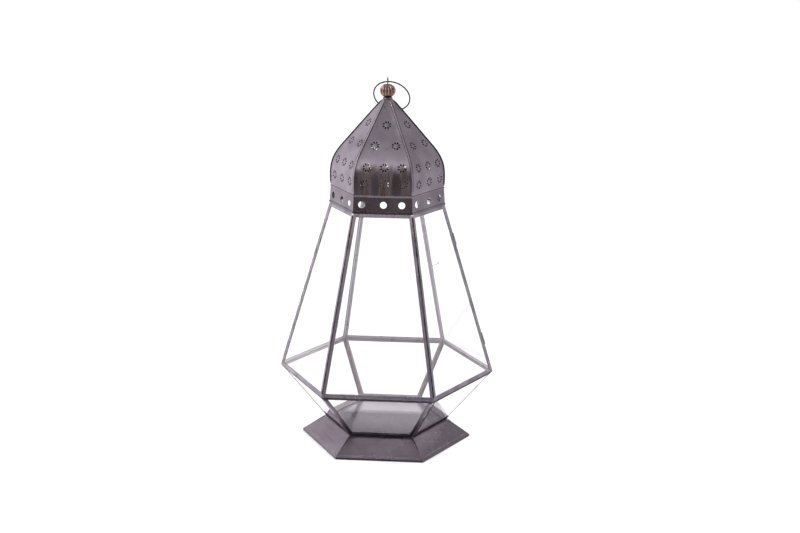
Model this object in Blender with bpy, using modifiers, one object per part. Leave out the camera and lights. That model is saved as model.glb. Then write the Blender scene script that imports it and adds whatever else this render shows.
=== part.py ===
"""Hexagonal table lantern: a glass body in soldered metal channels under a pierced onion dome.

Units are metres and +Z is up.  The origin is the centre of the foot's underside and the front face
looks towards -Y.  Faces and corners are named by where they stand; a corner lies every 60 degrees
from +X and a face lies halfway between two corners.
"""

import math

import bmesh
import bpy
from mathutils import Matrix, Vector

# ---- overall shape: corner radius and height of each six-sided level --------------------------------
SIDES = 6
FACE_ANGLE = math.tau / SIDES
CORNER_TO_FACE = math.cos(FACE_ANGLE / 2)
FOOT_RADIUS = 0.1202
WAIST_RADIUS = 0.0872
FLOOR_TOP = 0.025
GIRDLE = (0.1513, 0.0995)
COLLAR_FOOT = (0.0797, 0.3385)
COLLAR_HEAD = (0.0783, 0.3610)
FIT_GAP = 0.0003                   # clearance between pieces that touch
SHARP_FROM = math.radians(35)      # edges steeper than this are shaded sharp
BARREL_SIDES = 16
PIN_SIDES = 12
ROD_SIDES = 10

FACES = {"front": 270, "front_right": 330, "back_right": 30, "back": 90, "back_left": 150, "front_left": 210}
CORNERS = {"right": 0, "back_right": 60, "back_left": 120, "left": 180, "front_left": 240, "front_right": 300}
DOOR_FACE = "back_right"
HINGE_CORNER = CORNERS["right"]
LATCH_CORNER = CORNERS["back_right"]

# ---- foot -------------------------------------------------------------------------------------------
HEM_HEIGHT = 0.0025
HEM_WIDTH = 0.0016
FOOT_SHEET = 0.0006

# ---- glazing: U-shaped channels folded round 2 mm glass ---------------------------------------------
CHANNEL_DEPTH = 0.0035
CHANNEL_FACE = 0.0050              # width of the bar seen from outside, from the corner line
CHANNEL_SHEET = 0.00045
CHANNEL_WEB = 0.0005
GLASS_THICKNESS = 0.0020
DOOR_GAP = 0.0005
DOOR_HEAD_GAP = 0.0011             # the door climbs a little as it opens
CUT_MARGIN = 0.0020                # how far a cutter runs past what it cuts
# lower panes whose side edge has no channel: the glass meets its neighbour at the left and right corners
BARE_SIDES = {"front_right": "right", "back_right": "left", "back_left": "right", "front_left": "left"}

# ---- collar -----------------------------------------------------------------------------------------
COLLAR_SHEET = 0.0006
RIM_HEIGHT = 0.0026
RIM_PROUD = 0.0008
RIM_WIDTH = 0.0022
BEADING_HEIGHT = 0.0016
BEADING_SHOULDER = (0.0004, 0.0005)    # chamfer of its upper edge: in, down
BEADING_UNDERCUT = (0.0003, 0.0004)    # chamfer of its lower edge: in, up
VENT_RADIUS = 0.0047
VENT_SIDES = 14
VENT_HEIGHT = 0.3505
VENT_PLACES = (-0.356, 0.011, 0.322)   # along each face, as a part of the face's width

# ---- dome -------------------------------------------------------------------------------------------
DOME_SHEET = 0.0005
DOME_FOOT_SINK = 0.0003            # the dome's foot stands this far in from the collar's head
DOME_BULGE = (0.0788, 0.3777)      # widest point of the corner curve, where it runs upright
DOME_KNEE = (0.0573, 0.4262)       # where the bulge turns into the nearly straight cone
DOME_TIP = (0.0062, 0.4838)
KNEE_SLOPE = math.radians(48.1)
TIP_SLOPE = math.radians(45.0)
FOOT_HANDLE = (0.0006, 0.0040)       # handles of the corner curve, from its foot up to its tip
BULGE_HANDLES = (0.0050, 0.0213)     # below and above the bulge
KNEE_HANDLES = (0.0232, 0.0124)      # below and above the knee
TIP_HANDLE = 0.0149
CURVE_STEPS = (8, 24, 24)
GORE_STEPS = 15
GORE_SIDE_GAP = 0.00045
SEAM_RADIUS = 0.0005
SEAM_STANDOFF = 0.0005
FLOWER_SHIFT = 0.0018              # the flowers are punched a little to one side of the middle
# each row: distance up the gore from the collar, and the places across it
FLOWER_ROWS = (
    (0.0155, (-0.0256, 0.0, 0.0256)),
    (0.0375, (-0.0233, 0.0, 0.0233)),
    (0.0690, (-0.0140, 0.0140)),
    (0.1003, (0.0,)),
)
FLOWER_LIFT = {"front_right": -0.0020, "front_left": 0.0012}    # these gores were punched lower and higher
PETALS = 8
PETAL_CENTRE = 0.0045
PETAL_HALF_LENGTH = 0.0015
PETAL_HALF_WIDTH = 0.0009
PETAL_CUT_DEPTH = 0.0060

# ---- finial and hanging ring ------------------------------------------------------------------------
WASHER = (0.0066, 0.0008)          # radius, thickness
BEAD_CENTRE = 0.4940
BEAD_RADIUS = 0.0109
BEAD_HALF_HEIGHT = 0.0094
BEAD_TOP = 0.5027
BEAD_FOOT = 0.4853
BEAD_STEPS = 24
BEAD_ROWS = 10
PIN_BORE = 0.0011
EYE_CENTRE = 0.5062
EYE_WIRE = 0.00065
EYE_RADIUS = 0.00215
SPIKE_RADIUS = 0.00110
SPIKE_TIP_RADIUS = 0.00035
PIN_FOOT = 0.4780
PIN_TIP = 0.5130
RING_RADIUS = 0.0253
RING_WIRE = 0.00095
RING_LEAN = math.radians(31.0)     # backwards from hanging straight down
RING_SWING = math.radians(10.0)    # sideways
RING_TWIST = math.radians(9.0)

# ---- door hinges and latch --------------------------------------------------------------------------
HINGE_PLACES = {"lower": 0.20, "upper": 0.80}    # along the upright
KNUCKLE_RADIUS = 0.0012
KNUCKLE_BORE = 0.0006
KNUCKLE_LENGTH = 0.0080
HINGE_PIN_RADIUS = 0.0005
HINGE_PIN_PROUD = 0.0006
LATCH_PLACE = 0.503
LATCH_STANDOFF = 0.0015
LATCH_TUBE_RADIUS = 0.0011
LATCH_TUBE_BORE = 0.0006
LATCH_TUBE_LENGTH = 0.0060
LATCH_WIRE = 0.0005
LATCH_ARM = 0.0118
LATCH_CURL = 0.0011
CURL_SWEEP = math.radians(270)
CURL_STEPS = 9
LATCH_FOOT = 0.0024

UP = Vector((0.0, 0.0, 1.0))


# ---- scene helpers ----------------------------------------------------------------------------------
def clear_objects():
    for old in list(bpy.data.objects):
        bpy.data.objects.remove(old, do_unlink=True)


def new_collection(name):
    collection = bpy.data.collections.new(name)
    bpy.context.scene.collection.children.link(collection)
    return collection


def new_finish(name, color, roughness, metallic, transmission=0.0):
    finish = bpy.data.materials.new(name)
    finish.use_nodes = True
    shader = finish.node_tree.nodes["Principled BSDF"]
    shader.inputs["Base Color"].default_value = (*color, 1.0)
    shader.inputs["Roughness"].default_value = roughness
    shader.inputs["Metallic"].default_value = metallic
    shader.inputs["Transmission Weight"].default_value = transmission
    finish.diffuse_color = (*color, 1.0)
    return finish


def add_part(name, data, finish, matrix=None):
    part = bpy.data.objects.new(name, data)
    PARTS.objects.link(part)
    if not data.materials:
        data.materials.append(finish)
    if matrix is not None:
        part.matrix_world = matrix
    return part


def add_cutter(name, mesh, matrix=None):
    cutter = bpy.data.objects.new(name, mesh)
    CUTTERS.objects.link(cutter)
    cutter.hide_render = True
    cutter.display_type = "WIRE"
    if matrix is not None:
        cutter.matrix_world = matrix
    return cutter


def cut(part, cutter):
    boolean = part.modifiers.new(cutter.name, "BOOLEAN")
    boolean.operation = "DIFFERENCE"
    boolean.solver = "EXACT"
    boolean.object = cutter


def join(part, other):
    boolean = part.modifiers.new(other.name, "BOOLEAN")
    boolean.operation = "UNION"
    boolean.solver = "EXACT"
    boolean.object = other


def mesh_from(name, shape):
    mesh = bpy.data.meshes.new(name)
    shape.to_mesh(mesh)
    shape.free()
    return mesh


def shade_round(part):
    part.data.shade_smooth()
    part.data.set_sharp_from_angle(angle=SHARP_FROM)


# ---- placing ----------------------------------------------------------------------------------------
def direction(azimuth):
    """Horizontal unit vector at an azimuth in degrees."""
    angle = math.radians(azimuth)
    return Vector((math.cos(angle), math.sin(angle), 0.0))


def level_point(level, azimuth):
    """Point on a level's corner circle, where level is (corner radius, height)."""
    return direction(azimuth) * level[0] + UP * level[1]


def axes_matrix(x_axis, y_axis, z_axis, origin):
    matrix = Matrix((x_axis, y_axis, z_axis)).transposed().to_4x4()
    matrix.translation = origin
    return matrix


def turn_to(azimuth):
    """Rotation about the lantern's axis that brings the front face to an azimuth."""
    return Matrix.Rotation(math.radians(azimuth - FACES["front"]), 4, "Z")


class Panel:
    """Flat face between two levels.  Local x runs along the lower edge, y up the slope, z outwards."""

    def __init__(self, azimuth, lower, upper):
        foot = direction(azimuth) * lower[0] * CORNER_TO_FACE + UP * lower[1]
        head = direction(azimuth) * upper[0] * CORNER_TO_FACE + UP * upper[1]
        along = direction(azimuth + 90)
        slope = (head - foot).normalized()
        self.half_low = lower[0] * math.sin(FACE_ANGLE / 2)
        self.half_high = upper[0] * math.sin(FACE_ANGLE / 2)
        self.height = (head - foot).length
        self.outward = along.cross(slope)
        self.tilt = math.asin(self.outward.z)
        self.matrix = axes_matrix(along, slope, self.outward, foot)
        neighbour = Matrix.Rotation(FACE_ANGLE, 3, "Z") @ self.outward
        self.corner_mitre = math.tan(self.outward.angle(neighbour) / 2)

    def corners(self, inset):
        """Corners of the face moved in from each edge by inset["left"], ["right"], ["low"], ["high"]."""
        taper = (self.half_low - self.half_high) / self.height
        stretch = math.hypot(1.0, taper)
        rows = {"low": inset["low"], "high": self.height - inset["high"]}
        points = {}
        for row, y in rows.items():
            half = self.half_low - taper * y
            points["left", row] = (-half + inset["left"] * stretch, y)
            points["right", row] = (half - inset["right"] * stretch, y)
        return points


def insets(side, low, high, left=None, right=None):
    return {
        "left": side if left is None else left,
        "right": side if right is None else right,
        "low": low,
        "high": high,
    }


def slab(name, panel, front, back, top, bottom):
    """Slab between two outlines of a panel, each given by its insets, from height top down to bottom."""
    shape = bmesh.new()
    bmesh.ops.create_cube(shape, size=2.0)
    outlines = {True: (panel.corners(front), top), False: (panel.corners(back), bottom)}
    for vertex in shape.verts:
        outline, height = outlines[vertex.co.z > 0]
        side = "right" if vertex.co.x > 0 else "left"
        row = "high" if vertex.co.y > 0 else "low"
        x, y = outline[side, row]
        vertex.co = (x, y, height)
    return mesh_from(name, shape)


# ---- basic shapes -----------------------------------------------------------------------------------
def turned(name, profile, steps, finish, matrix=None, closed=True):
    """Profile of (radius, height) points that runs down its outer side, turned about Z.

    With steps=6 it gives a six-sided shape whose corners stand where the profile's radii say.
    """
    shape = bmesh.new()
    points = [shape.verts.new((radius, 0.0, height)) for radius, height in profile]
    for start, end in zip(points, points[1:]):
        shape.edges.new((start, end))
    if closed:
        shape.edges.new((points[-1], points[0]))
    part = add_part(name, mesh_from(name, shape), finish, matrix)
    screw = part.modifiers.new("turn", "SCREW")
    screw.steps = steps
    screw.render_steps = steps
    screw.use_merge_vertices = True
    screw.merge_threshold = 0.00001
    screw.use_smooth_shade = steps > SIDES
    return part


def tube_profile(outer, bore, length):
    return [(outer, length / 2), (outer, -length / 2), (bore, -length / 2), (bore, length / 2)]


def wire(name, points, radius, finish, matrix=None, resolution=2):
    curve = bpy.data.curves.new(name, "CURVE")
    curve.dimensions = "3D"
    curve.bevel_depth = radius
    curve.bevel_resolution = resolution
    curve.use_fill_caps = True
    spline = curve.splines.new("POLY")
    spline.points.add(len(points) - 1)
    for control, point in zip(spline.points, points):
        control.co = (*point, 1.0)
    return add_part(name, curve, finish, matrix)


def flat_pane(name, outline, thickness, finish, matrix):
    """Flat plate with a straight-sided outline, centred on its local plane."""
    curve = bpy.data.curves.new(name, "CURVE")
    curve.dimensions = "2D"
    curve.fill_mode = "BOTH"
    curve.extrude = thickness / 2
    spline = curve.splines.new("POLY")
    spline.points.add(len(outline) - 1)
    spline.use_cyclic_u = True
    for control, (x, y) in zip(spline.points, outline):
        control.co = (x, y, 0.0, 1.0)
    return add_part(name, curve, finish, matrix)


def bezier(start, start_handle, end_handle, end, steps):
    """Points of a cubic curve in the (radius, height) plane, without its first point."""
    start, start_handle, end_handle, end = (Vector(p) for p in (start, start_handle, end_handle, end))
    points = []
    for step in range(1, steps + 1):
        t = step / steps
        s = 1.0 - t
        point = start * s**3 + start_handle * 3 * s**2 * t + end_handle * 3 * s * t**2 + end * t**3
        points.append(point)
    return points


def rounded(points, radius, steps=4):
    """Polyline with each inner corner replaced by a small quadratic curve."""
    path = [Vector(points[0])]
    for before, corner, after in zip(points, points[1:], points[2:]):
        corner = Vector(corner)
        start = corner + (Vector(before) - corner).normalized() * radius
        end = corner + (Vector(after) - corner).normalized() * radius
        for step in range(steps + 1):
            t = step / steps
            path.append(start * (1 - t) ** 2 + corner * 2 * t * (1 - t) + end * t**2)
    path.append(Vector(points[-1]))
    return path


# ---- foot -------------------------------------------------------------------------------------------
def build_foot():
    inner = FOOT_RADIUS - HEM_WIDTH / CORNER_TO_FACE
    hem = [(FOOT_RADIUS, HEM_HEIGHT), (FOOT_RADIUS, 0.0), (inner, 0.0), (inner, HEM_HEIGHT)]
    turned("foot_hem", hem, SIDES, METAL)

    floor_bottom = FLOOR_TOP - FOOT_SHEET
    plate = [(0.0, FLOOR_TOP), (WAIST_RADIUS, FLOOR_TOP), (WAIST_RADIUS, floor_bottom), (0.0, floor_bottom)]
    turned("floor_plate", plate, SIDES, METAL, closed=False)

    foot = (FOOT_RADIUS, HEM_HEIGHT + FIT_GAP)
    waist = (WAIST_RADIUS, floor_bottom - FIT_GAP)
    for face, azimuth in FACES.items():
        panel = Panel(azimuth, foot, waist)
        level_cut = math.tan(panel.tilt) * FOOT_SHEET
        side = FIT_GAP / 2
        front = insets(side, 0.0, 0.0)
        back = insets(side + panel.corner_mitre * FOOT_SHEET, level_cut, -level_cut)
        mesh = slab("skirt_" + face, panel, front, back, 0.0, -FOOT_SHEET)
        add_part("skirt_" + face, mesh, METAL, panel.matrix)


# ---- glazing ----------------------------------------------------------------------------------------
def glaze(face, panel, names, edge_gap, edge_mitre, bare_side=None):
    """Channel frame and its pane on one panel.

    edge_gap is the frame's distance from each edge of the panel, and edge_mitre says how far each edge
    moves in for each metre of depth, so that frames meet their neighbours on a mitre.
    """
    channel_name, glass_name = names
    edges = ("left", "right", "low", "high")
    at_depth = {edge: edge_gap[edge] + edge_mitre[edge] * CHANNEL_DEPTH for edge in edges}
    groove = {edge: max(edge_gap[edge], at_depth[edge]) + CHANNEL_WEB for edge in edges}
    opening = {edge: CHANNEL_FACE for edge in edges}
    pane = {edge: groove[edge] + FIT_GAP for edge in edges}
    if bare_side:
        glass_back = (CHANNEL_DEPTH + GLASS_THICKNESS) / 2
        groove[bare_side] = -CHANNEL_FACE
        opening[bare_side] = -CHANNEL_FACE
        pane[bare_side] = panel.corner_mitre * glass_back + FIT_GAP

    body = slab(channel_name, panel, edge_gap, at_depth, 0.0, -CHANNEL_DEPTH)
    channel = add_part(channel_name, body, METAL, panel.matrix)
    groove_floor = CHANNEL_SHEET - CHANNEL_DEPTH
    groove_mesh = slab(channel_name + "_groove", panel, groove, groove, -CHANNEL_SHEET, groove_floor)
    cut(channel, add_cutter(channel_name + "_groove", groove_mesh, panel.matrix))
    past_back = -CHANNEL_DEPTH - CUT_MARGIN
    opening_mesh = slab(channel_name + "_opening", panel, opening, opening, CUT_MARGIN, past_back)
    cut(channel, add_cutter(channel_name + "_opening", opening_mesh, panel.matrix))

    points = panel.corners(pane)
    outline = [points[key] for key in (("left", "low"), ("right", "low"), ("right", "high"), ("left", "high"))]
    middle = Matrix.Translation((0.0, 0.0, -CHANNEL_DEPTH / 2))
    flat_pane(glass_name, outline, GLASS_THICKNESS, GLASS, panel.matrix @ middle)
    return channel


def build_glazing():
    """Lower and upper rings of panes.  Returns the two channels that the door's hinges join."""
    half_gap = FIT_GAP / 2
    hinged = []
    for face, azimuth in FACES.items():
        lower = Panel(azimuth, (WAIST_RADIUS, FLOOR_TOP), GIRDLE)
        upper = Panel(azimuth, GIRDLE, COLLAR_FOOT)
        girdle_mitre = math.tan((upper.tilt - lower.tilt) / 2)

        lower_gap = insets(half_gap, FIT_GAP / math.cos(lower.tilt), half_gap)
        lower_mitre = insets(lower.corner_mitre, math.tan(lower.tilt), girdle_mitre)
        names = ("lower_channel_" + face, "lower_glass_" + face)
        glaze(face, lower, names, lower_gap, lower_mitre, BARE_SIDES.get(face))

        if face == DOOR_FACE:
            names = ("door_channel", "door_glass")
            upper_gap = insets(DOOR_GAP, DOOR_GAP, DOOR_HEAD_GAP)
            upper_mitre = insets(upper.corner_mitre, girdle_mitre, 0.0)
        else:
            names = ("upper_channel_" + face, "upper_glass_" + face)
            upper_gap = insets(half_gap, half_gap, FIT_GAP / math.cos(upper.tilt))
            upper_mitre = insets(upper.corner_mitre, girdle_mitre, -math.tan(upper.tilt))
        channel = glaze(face, upper, names, upper_gap, upper_mitre)
        if face in (DOOR_FACE, "front_right"):
            hinged.append(channel)
    return hinged


# ---- collar -----------------------------------------------------------------------------------------
def build_collar():
    foot_radius, foot = COLLAR_FOOT
    head_radius, head = COLLAR_HEAD
    rim_top = foot + RIM_HEIGHT
    rim_outer = foot_radius + RIM_PROUD
    rim_inner = rim_outer - RIM_WIDTH
    rim = [(rim_outer, rim_top), (rim_outer, foot), (rim_inner, foot), (rim_inner, rim_top)]
    turned("collar_rim", rim, SIDES, METAL)

    band_foot = rim_top + FIT_GAP
    sheet = COLLAR_SHEET / CORNER_TO_FACE
    band = [
        (head_radius, head),
        (foot_radius, band_foot),
        (foot_radius - sheet, band_foot),
        (head_radius - sheet, head),
    ]
    collar = turned("collar_band", band, SIDES, METAL)
    cut(collar, vent_cutter())

    beading_foot = head + FIT_GAP
    beading_top = beading_foot + BEADING_HEIGHT
    beading_outer = head_radius + RIM_PROUD
    beading_inner = beading_outer - RIM_WIDTH
    beading = [
        (beading_outer - BEADING_SHOULDER[0], beading_top),
        (beading_outer, beading_top - BEADING_SHOULDER[1]),
        (beading_outer, beading_foot + BEADING_UNDERCUT[1]),
        (beading_outer - BEADING_UNDERCUT[0], beading_foot),
        (beading_inner, beading_foot),
        (beading_inner, beading_top),
    ]
    turned("collar_beading", beading, SIDES, METAL)


def vent_cutter():
    """Round bars through the collar, three to a face, that each pierce one wall."""
    shape = bmesh.new()
    wall = (COLLAR_FOOT[0] + COLLAR_HEAD[0]) / 2 * CORNER_TO_FACE
    face_width = (COLLAR_FOOT[0] + COLLAR_HEAD[0]) / 2
    for azimuth in FACES.values():
        along = direction(azimuth + 90)
        outward = direction(azimuth)
        for place in VENT_PLACES:
            centre = outward * wall + along * place * face_width + UP * VENT_HEIGHT
            matrix = axes_matrix(along, UP, along.cross(UP), centre)
            bmesh.ops.create_cone(shape, cap_ends=True, segments=VENT_SIDES, radius1=VENT_RADIUS, radius2=VENT_RADIUS,
                                  depth=4 * CUT_MARGIN, matrix=matrix)
    return add_cutter("collar_vents", mesh_from("collar_vents", shape))


# ---- dome -------------------------------------------------------------------------------------------
def dome_corner_curve():
    """Corner outline of the dome from the collar to the tip, as (radius, height) points."""
    beading_top = COLLAR_HEAD[1] + FIT_GAP + BEADING_HEIGHT
    foot = Vector((COLLAR_HEAD[0] - DOME_FOOT_SINK, beading_top + FIT_GAP))
    bulge = Vector(DOME_BULGE)
    knee = Vector(DOME_KNEE)
    tip = Vector(DOME_TIP)
    knee_way = Vector((-math.cos(KNEE_SLOPE), math.sin(KNEE_SLOPE)))
    tip_way = Vector((-math.cos(TIP_SLOPE), math.sin(TIP_SLOPE)))
    under_bulge = bulge - Vector((0.0, BULGE_HANDLES[0]))
    over_bulge = bulge + Vector((0.0, BULGE_HANDLES[1]))
    under_knee = knee - knee_way * KNEE_HANDLES[0]
    over_knee = knee + knee_way * KNEE_HANDLES[1]
    curve = [foot]
    curve += bezier(foot, foot + Vector(FOOT_HANDLE), under_bulge, bulge, CURVE_STEPS[0])
    curve += bezier(bulge, over_bulge, under_knee, knee, CURVE_STEPS[1])
    curve += bezier(knee, over_knee, tip - tip_way * TIP_HANDLE, tip, CURVE_STEPS[2])
    return curve


class Gore:
    """Profile of a gore's middle line, measured by distance up from the collar."""

    def __init__(self):
        corners = dome_corner_curve()
        self.points = [Vector((point.x * CORNER_TO_FACE, point.y)) for point in corners]
        self.distances = [0.0]
        for start, end in zip(self.points, self.points[1:]):
            self.distances.append(self.distances[-1] + (end - start).length)
        self.length = self.distances[-1]

    def at(self, distance):
        """Point (reach, height) of the middle line and the unit vector up it."""
        distance = min(max(distance, 0.0), self.length)
        index = 1
        while self.distances[index] < distance:
            index += 1
        start, end = self.points[index - 1], self.points[index]
        part = (distance - self.distances[index - 1]) / (end - start).length
        return start.lerp(end, part), (end - start).normalized()

    def frame(self, distance, across, azimuth):
        """Matrix on the gore's outer face: x across, y up, z outwards."""
        (reach, height), (rise_out, rise_up) = self.at(distance)
        along = direction(azimuth + 90)
        upward = direction(azimuth) * rise_out + UP * rise_up
        origin = direction(azimuth) * reach + along * across + UP * height
        return axes_matrix(along, upward, along.cross(upward), origin)


def gore_mesh(gore):
    """Open sheet of the front gore, straight across and curved upwards."""
    shape = bmesh.new()
    bmesh.ops.create_grid(shape, x_segments=1, y_segments=GORE_STEPS, size=1.0)
    for vertex in shape.verts:
        frame = gore.frame((vertex.co.y + 1) / 2 * gore.length, 0.0, FACES["front"])
        middle = frame.translation
        half_width = math.hypot(middle.x, middle.y) * math.tan(FACE_ANGLE / 2) - GORE_SIDE_GAP
        vertex.co = frame @ Vector((math.copysign(half_width, vertex.co.x), 0.0, 0.0))
    return mesh_from("dome_gore", shape)


def flower_cutter_mesh(gore, lift):
    """Petal-shaped bars of every flower on a gore that faces front, moved up it by lift."""
    shape = bmesh.new()
    stretch = Matrix.Diagonal((PETAL_HALF_LENGTH, PETAL_HALF_WIDTH, 1.0, 1.0))
    for distance, places in FLOWER_ROWS:
        for place in places:
            centre = gore.frame(distance + lift, place + FLOWER_SHIFT, FACES["front"])
            for petal in range(PETALS):
                turn = Matrix.Rotation(math.tau * (petal + 0.5) / PETALS, 4, "Z")
                outwards = Matrix.Translation((PETAL_CENTRE, 0.0, 0.0))
                bmesh.ops.create_cone(shape, cap_ends=True, segments=4, radius1=1.0, radius2=1.0,
                                      depth=PETAL_CUT_DEPTH, matrix=centre @ turn @ outwards @ stretch)
    return mesh_from("flower_cutter", shape)


def build_dome():
    gore = Gore()
    sheet = gore_mesh(gore)
    for face, azimuth in FACES.items():
        flowers = flower_cutter_mesh(gore, FLOWER_LIFT.get(face, 0.0))
        part = add_part("dome_gore_" + face, sheet, METAL, turn_to(azimuth))
        thickness = part.modifiers.new("sheet", "SOLIDIFY")
        thickness.thickness = DOME_SHEET
        thickness.offset = -1.0
        cut(part, add_cutter("flowers_" + face, flowers, turn_to(azimuth)))

    for corner, azimuth in CORNERS.items():
        wire("dome_seam_" + corner, seam_path(azimuth), SEAM_RADIUS, METAL, resolution=1)


def seam_path(azimuth):
    """Line that runs up a corner of the dome, a little outside it."""
    curve = dome_corner_curve()[::4]
    points = []
    for before, here, after in zip([curve[0]] + curve, curve, curve[1:] + [curve[-1]]):
        along = (after - before).normalized()
        outward = Vector((along.y, -along.x))
        radius, height = here + outward * SEAM_STANDOFF
        points.append(level_point((radius, height), azimuth))
    return points


# ---- finial and hanging ring ------------------------------------------------------------------------
def build_finial():
    washer_radius, washer_height = WASHER
    washer_foot = DOME_TIP[1] + FIT_GAP
    washer = [
        (washer_radius, washer_foot + washer_height),
        (washer_radius, washer_foot),
        (PIN_BORE, washer_foot),
        (PIN_BORE, washer_foot + washer_height),
    ]
    turned("finial_washer", washer, BEAD_STEPS, METAL)

    top_angle = math.asin((BEAD_TOP - BEAD_CENTRE) / BEAD_HALF_HEIGHT)
    foot_angle = math.asin((BEAD_FOOT - BEAD_CENTRE) / BEAD_HALF_HEIGHT)
    bead = [(PIN_BORE, BEAD_TOP)]
    for row in range(BEAD_ROWS + 1):
        angle = top_angle + (foot_angle - top_angle) * row / BEAD_ROWS
        bead.append((BEAD_RADIUS * math.cos(angle), BEAD_CENTRE + BEAD_HALF_HEIGHT * math.sin(angle)))
    bead.append((PIN_BORE, BEAD_FOOT))
    turned("finial_bead", bead, BEAD_STEPS, COPPER)



def build_eye_pin():
    """Round eye on a shank that runs down through the bead, with a short spike left on top."""
    bpy.ops.mesh.primitive_torus_add(major_segments=20, minor_segments=8, major_radius=EYE_RADIUS,
                                     minor_radius=EYE_WIRE)
    torus = bpy.context.object
    mesh = torus.data
    bpy.data.objects.remove(torus, do_unlink=True)
    across = Matrix.Rotation(math.radians(90), 4, "Y")
    eye = add_part("eye_pin", mesh, WIRE, Matrix.Translation(UP * EYE_CENTRE) @ across)
    shade_round(eye)
    eye_foot = EYE_CENTRE - EYE_RADIUS
    eye_head = EYE_CENTRE + EYE_RADIUS
    join(eye, rod_cutter("eye_shank", PIN_FOOT, eye_foot, EYE_WIRE, EYE_WIRE))
    join(eye, rod_cutter("eye_spike", eye_head, PIN_TIP, SPIKE_RADIUS, SPIKE_TIP_RADIUS))


def rod_cutter(name, foot, head, foot_radius, head_radius):
    shape = bmesh.new()
    middle = Matrix.Translation(UP * (foot + head) / 2)
    bmesh.ops.create_cone(shape, cap_ends=True, segments=ROD_SIDES, radius1=foot_radius, radius2=head_radius,
                          depth=head - foot, matrix=middle)
    return add_cutter(name, mesh_from(name, shape))


def build_ring():
    """Ring that hangs in the eye and leans on the back of the dome."""
    down = Vector((
        math.sin(RING_SWING),
        math.sin(RING_LEAN) * math.cos(RING_SWING),
        -math.cos(RING_LEAN) * math.cos(RING_SWING),
    ))
    across = (Vector((1.0, 0.0, 0.0)) - down * down.x).normalized()
    across = Matrix.Rotation(RING_TWIST, 3, down) @ across
    eye = UP * EYE_CENTRE
    matrix = axes_matrix(across, down, across.cross(down), eye + down * RING_RADIUS)
    bpy.ops.mesh.primitive_torus_add(major_segments=44, minor_segments=8, major_radius=RING_RADIUS,
                                     minor_radius=RING_WIRE)
    torus = bpy.context.object
    mesh = torus.data
    bpy.data.objects.remove(torus, do_unlink=True)
    ring = add_part("hanging_ring", mesh, WIRE, matrix)
    shade_round(ring)


# ---- door hinges and latch --------------------------------------------------------------------------
def upright_matrix(azimuth, place, facing):
    """Frame on an upright's corner line: z up the line, x towards facing."""
    foot = level_point(GIRDLE, azimuth)
    head = level_point(COLLAR_FOOT, azimuth)
    along = (head - foot).normalized()
    x_axis = (facing - along * facing.dot(along)).normalized()
    return axes_matrix(x_axis, along.cross(x_axis), along, foot.lerp(head, place))


def build_hinges(hinged_channels):
    reach = KNUCKLE_LENGTH + FIT_GAP / 2
    for level, place in HINGE_PLACES.items():
        axis = upright_matrix(HINGE_CORNER, place, direction(HINGE_CORNER))
        knuckle = tube_profile(KNUCKLE_RADIUS, KNUCKLE_BORE, KNUCKLE_LENGTH)
        below = axis @ Matrix.Translation((0.0, 0.0, -reach / 2 - FIT_GAP / 4))
        above = axis @ Matrix.Translation((0.0, 0.0, reach / 2 + FIT_GAP / 4))
        turned(level + "_hinge_fixed_knuckle", knuckle, BARREL_SIDES, METAL, below)
        turned(level + "_hinge_door_knuckle", knuckle, BARREL_SIDES, METAL, above)

        pin_length = 2 * (reach + HINGE_PIN_PROUD)
        pin = bmesh.new()
        bmesh.ops.create_cone(pin, cap_ends=True, segments=PIN_SIDES, radius1=HINGE_PIN_RADIUS,
                              radius2=HINGE_PIN_RADIUS, depth=pin_length)
        part = add_part(level + "_hinge_pin", mesh_from(level + "_hinge_pin", pin), WIRE, axis)
        shade_round(part)

        relief = bmesh.new()
        relief_radius = KNUCKLE_RADIUS + FIT_GAP
        bmesh.ops.create_cone(relief, cap_ends=True, segments=BARREL_SIDES, radius1=relief_radius,
                              radius2=relief_radius, depth=pin_length + 4 * FIT_GAP)
        cutter = add_cutter(level + "_hinge_relief", mesh_from(level + "_hinge_relief", relief), axis)
        for channel in hinged_channels:
            cut(channel, cutter)


def build_latch():
    """Turning wire latch in a little tube on the upright beside the door's free edge."""
    outward = Panel(FACES[DOOR_FACE], GIRDLE, COLLAR_FOOT).outward
    frame = upright_matrix(LATCH_CORNER, LATCH_PLACE, outward)
    radial = upright_matrix(LATCH_CORNER, LATCH_PLACE, direction(LATCH_CORNER)).to_3x3().col[0]
    frame.translation = frame.translation + radial * LATCH_STANDOFF
    tube = tube_profile(LATCH_TUBE_RADIUS, LATCH_TUBE_BORE, LATCH_TUBE_LENGTH)
    turned("latch_tube", tube, BARREL_SIDES, METAL, frame)

    top = LATCH_TUBE_LENGTH / 2 + 2 * LATCH_WIRE + FIT_GAP
    corner_points = [(LATCH_FOOT, 0.0, -top), (0.0, 0.0, -top), (0.0, 0.0, top), (LATCH_ARM, 0.0, top)]
    path = rounded(corner_points, 2 * LATCH_WIRE)
    for step in range(1, CURL_STEPS + 1):
        angle = CURL_SWEEP * step / CURL_STEPS
        curl = (LATCH_ARM + LATCH_CURL * math.sin(angle), 0.0, top + LATCH_CURL * (1 - math.cos(angle)))
        path.append(Vector(curl))
    wire("latch_wire", path, LATCH_WIRE, WIRE, frame)


clear_objects()
PARTS = new_collection("glass_lantern")
CUTTERS = new_collection("cutters")
METAL = new_finish("antiqued_metal", (0.15, 0.13, 0.15), 0.42, 0.85)
GLASS = new_finish("clear_glass", (0.93, 0.95, 0.96), 0.03, 0.0, transmission=1.0)
COPPER = new_finish("copper", (0.55, 0.32, 0.26), 0.35, 1.0)
WIRE = new_finish("dark_wire", (0.07, 0.06, 0.07), 0.40, 0.9)

build_foot()
hinged_channels = build_glazing()
build_collar()
build_dome()
build_finial()
build_eye_pin()
build_ring()
build_hinges(hinged_channels)
build_latch()
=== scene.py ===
"""Looks of the six-sided glass lantern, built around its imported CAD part."""

import math

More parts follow.
